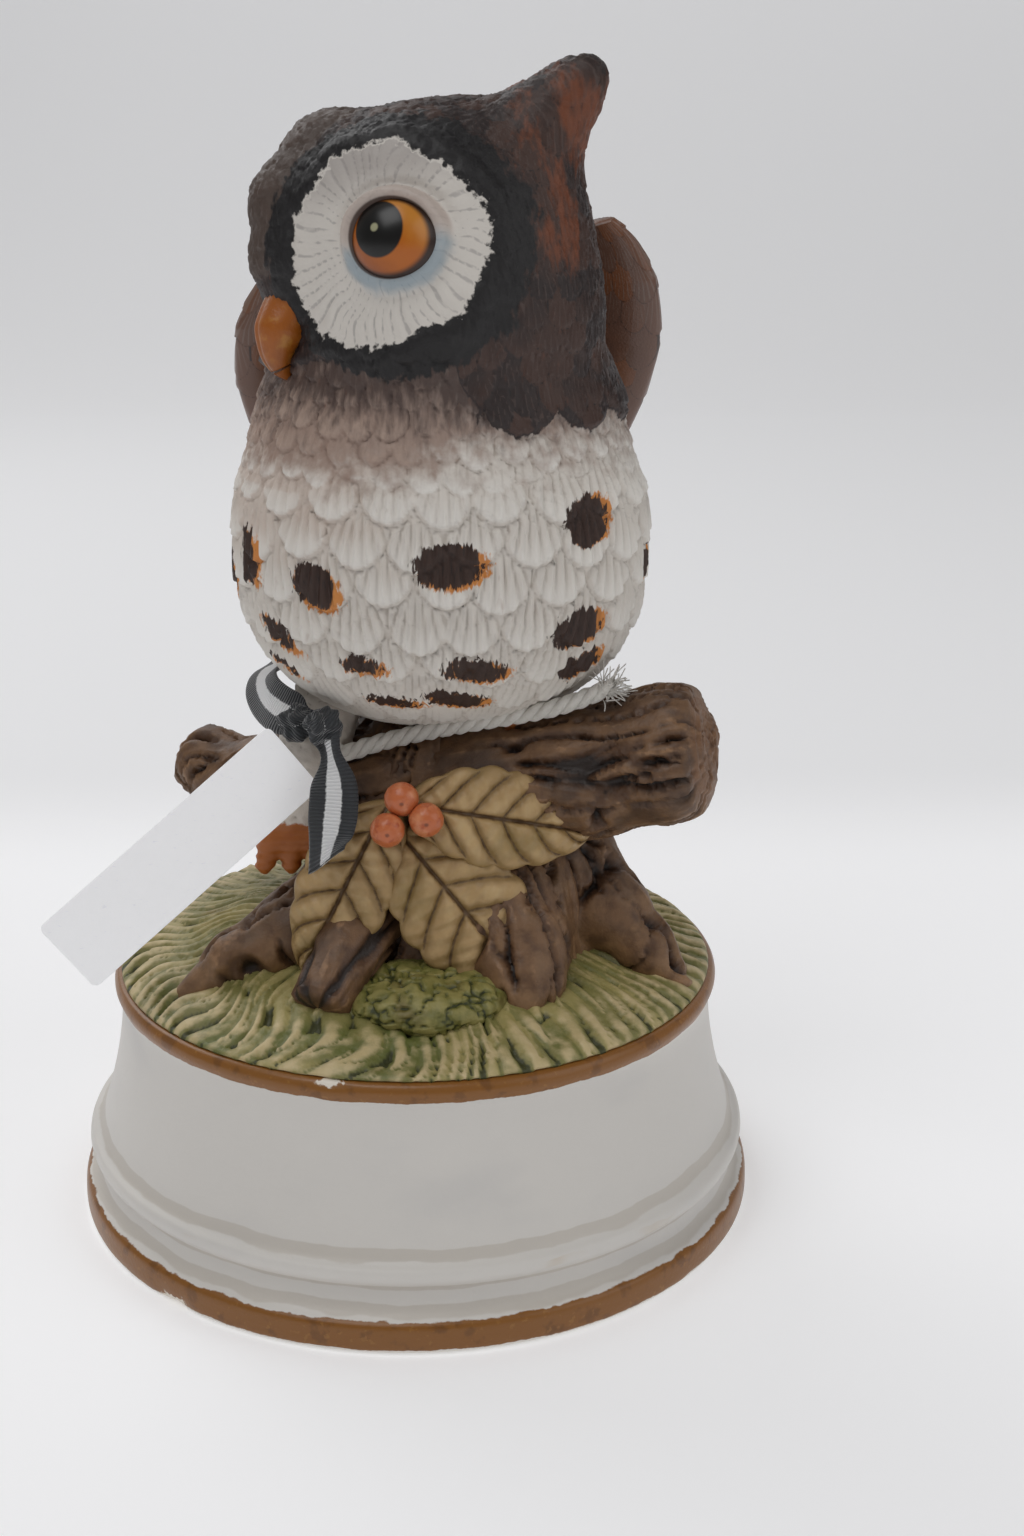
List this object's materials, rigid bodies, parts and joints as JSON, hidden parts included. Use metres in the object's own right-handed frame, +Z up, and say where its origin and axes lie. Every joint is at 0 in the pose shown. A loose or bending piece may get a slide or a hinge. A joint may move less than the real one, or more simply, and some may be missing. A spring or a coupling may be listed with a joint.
{
  "type": "owl figurine",
  "caption": "Painted bisque porcelain owl perched on a log over a grassy drum base that houses a wind-up musical movement, with twine, ribbon and a blank tag.",
  "frame": {"origin": "centre of the drum base's foot, on the surface it stands on", "axes": "+Z up, -Y the way the owl's breast faces, +X the owl's left, which is the log's sawn end"},
  "size_m": [0.095, 0.095, 0.1523],
  "materials": {
    "white_bisque": "hand-painted matte bisque, brown-gold bands on the base",
    "grass_paint": "matte painted bisque",
    "bark_paint": "matte painted bisque",
    "leaf_paint": "matte painted bisque",
    "berry_paint": "satin painted bisque",
    "feather_paint": "satin painted bisque",
    "beak_paint": "satin painted bisque",
    "brass": "turned and cut",
    "steel": "plain",
    "white_plastic": "moulded",
    "cotton_twine": "twisted cotton",
    "black_ribbon": "woven, white centre stripe",
    "white_card": "matte"
  },
  "bodies": {
    "figurine": {"base_drum": "white_bisque", "grass_mound": "grass_paint", "moss_mound": "grass_paint", "stump": "bark_paint", "perch_log": "bark_paint", "log_branch": "bark_paint", "root_left": "bark_paint", "root_right": "bark_paint", "root_front": "bark_paint", "root_back": "bark_paint", "knot_stub": "bark_paint", "leaf_lower": "leaf_paint", "leaf_upper": "leaf_paint", "leaf_side": "leaf_paint", "berry_top": "berry_paint", "berry_right": "berry_paint", "berry_left": "berry_paint", "owl_body": "white_bisque", "owl_head": "feather_paint", "beak": "beak_paint", "ear_tuft_left": "feather_paint", "ear_tuft_right": "feather_paint", "wing_left": "feather_paint", "wing_right": "feather_paint", "tail": "feather_paint", "foot_left": "beak_paint", "foot_right": "beak_paint", "bottom_plate": "white_plastic", "movement_bedplate": "steel", "plate_screw_1": "steel", "plate_screw_2": "steel", "plate_screw_3": "steel", "spring_housing": "steel", "mainspring": "steel", "bearing_left": "steel", "bearing_right": "steel", "tone_comb": "steel", "comb_base": "steel", "comb_screw_1": "steel", "comb_screw_2": "steel", "governor_frame": "steel", "twine": "cotton_twine", "ribbon": "black_ribbon", "price_tag": "white_card"},
    "winding": {"winding_key": "white_plastic", "winding_arbor": "steel", "crown_gear": "brass"},
    "cylinder": {"tune_cylinder": "brass", "cylinder_shaft": "steel", "cylinder_pinion": "brass", "cylinder_gear": "brass"},
    "governor": {"governor_arbor": "steel", "governor_pinion": "brass", "worm_wheel": "brass"},
    "fly": {"endless_worm": "steel", "air_fly": "white_plastic"}
  },
  "joints": [
    {"name": "key_turn", "type": "hinge", "parent": "figurine", "child": "winding", "pos_m": [-0.013, 0, 0], "axis": [0, 0, 1], "continuous": true},
    {"name": "cylinder_turn", "type": "hinge", "parent": "figurine", "child": "cylinder", "pos_m": [0, 0, 0.02457], "axis": [1, 0, 0], "continuous": true},
    {"name": "governor_turn", "type": "hinge", "parent": "figurine", "child": "governor", "pos_m": [0, -0.00764, 0.02457], "axis": [1, 0, 0], "continuous": true},
    {"name": "fly_spin", "type": "hinge", "parent": "figurine", "child": "fly", "pos_m": [0.0231, -0.01212, 0], "axis": [0, 0, 1], "continuous": true}
  ],
  "couplings": [
    {"joint": "cylinder_turn", "follows": "key_turn", "ratio": 2.4},
    {"joint": "governor_turn", "follows": "key_turn", "ratio": -7.2},
    {"joint": "fly_spin", "follows": "key_turn", "ratio": -144}
  ]
}
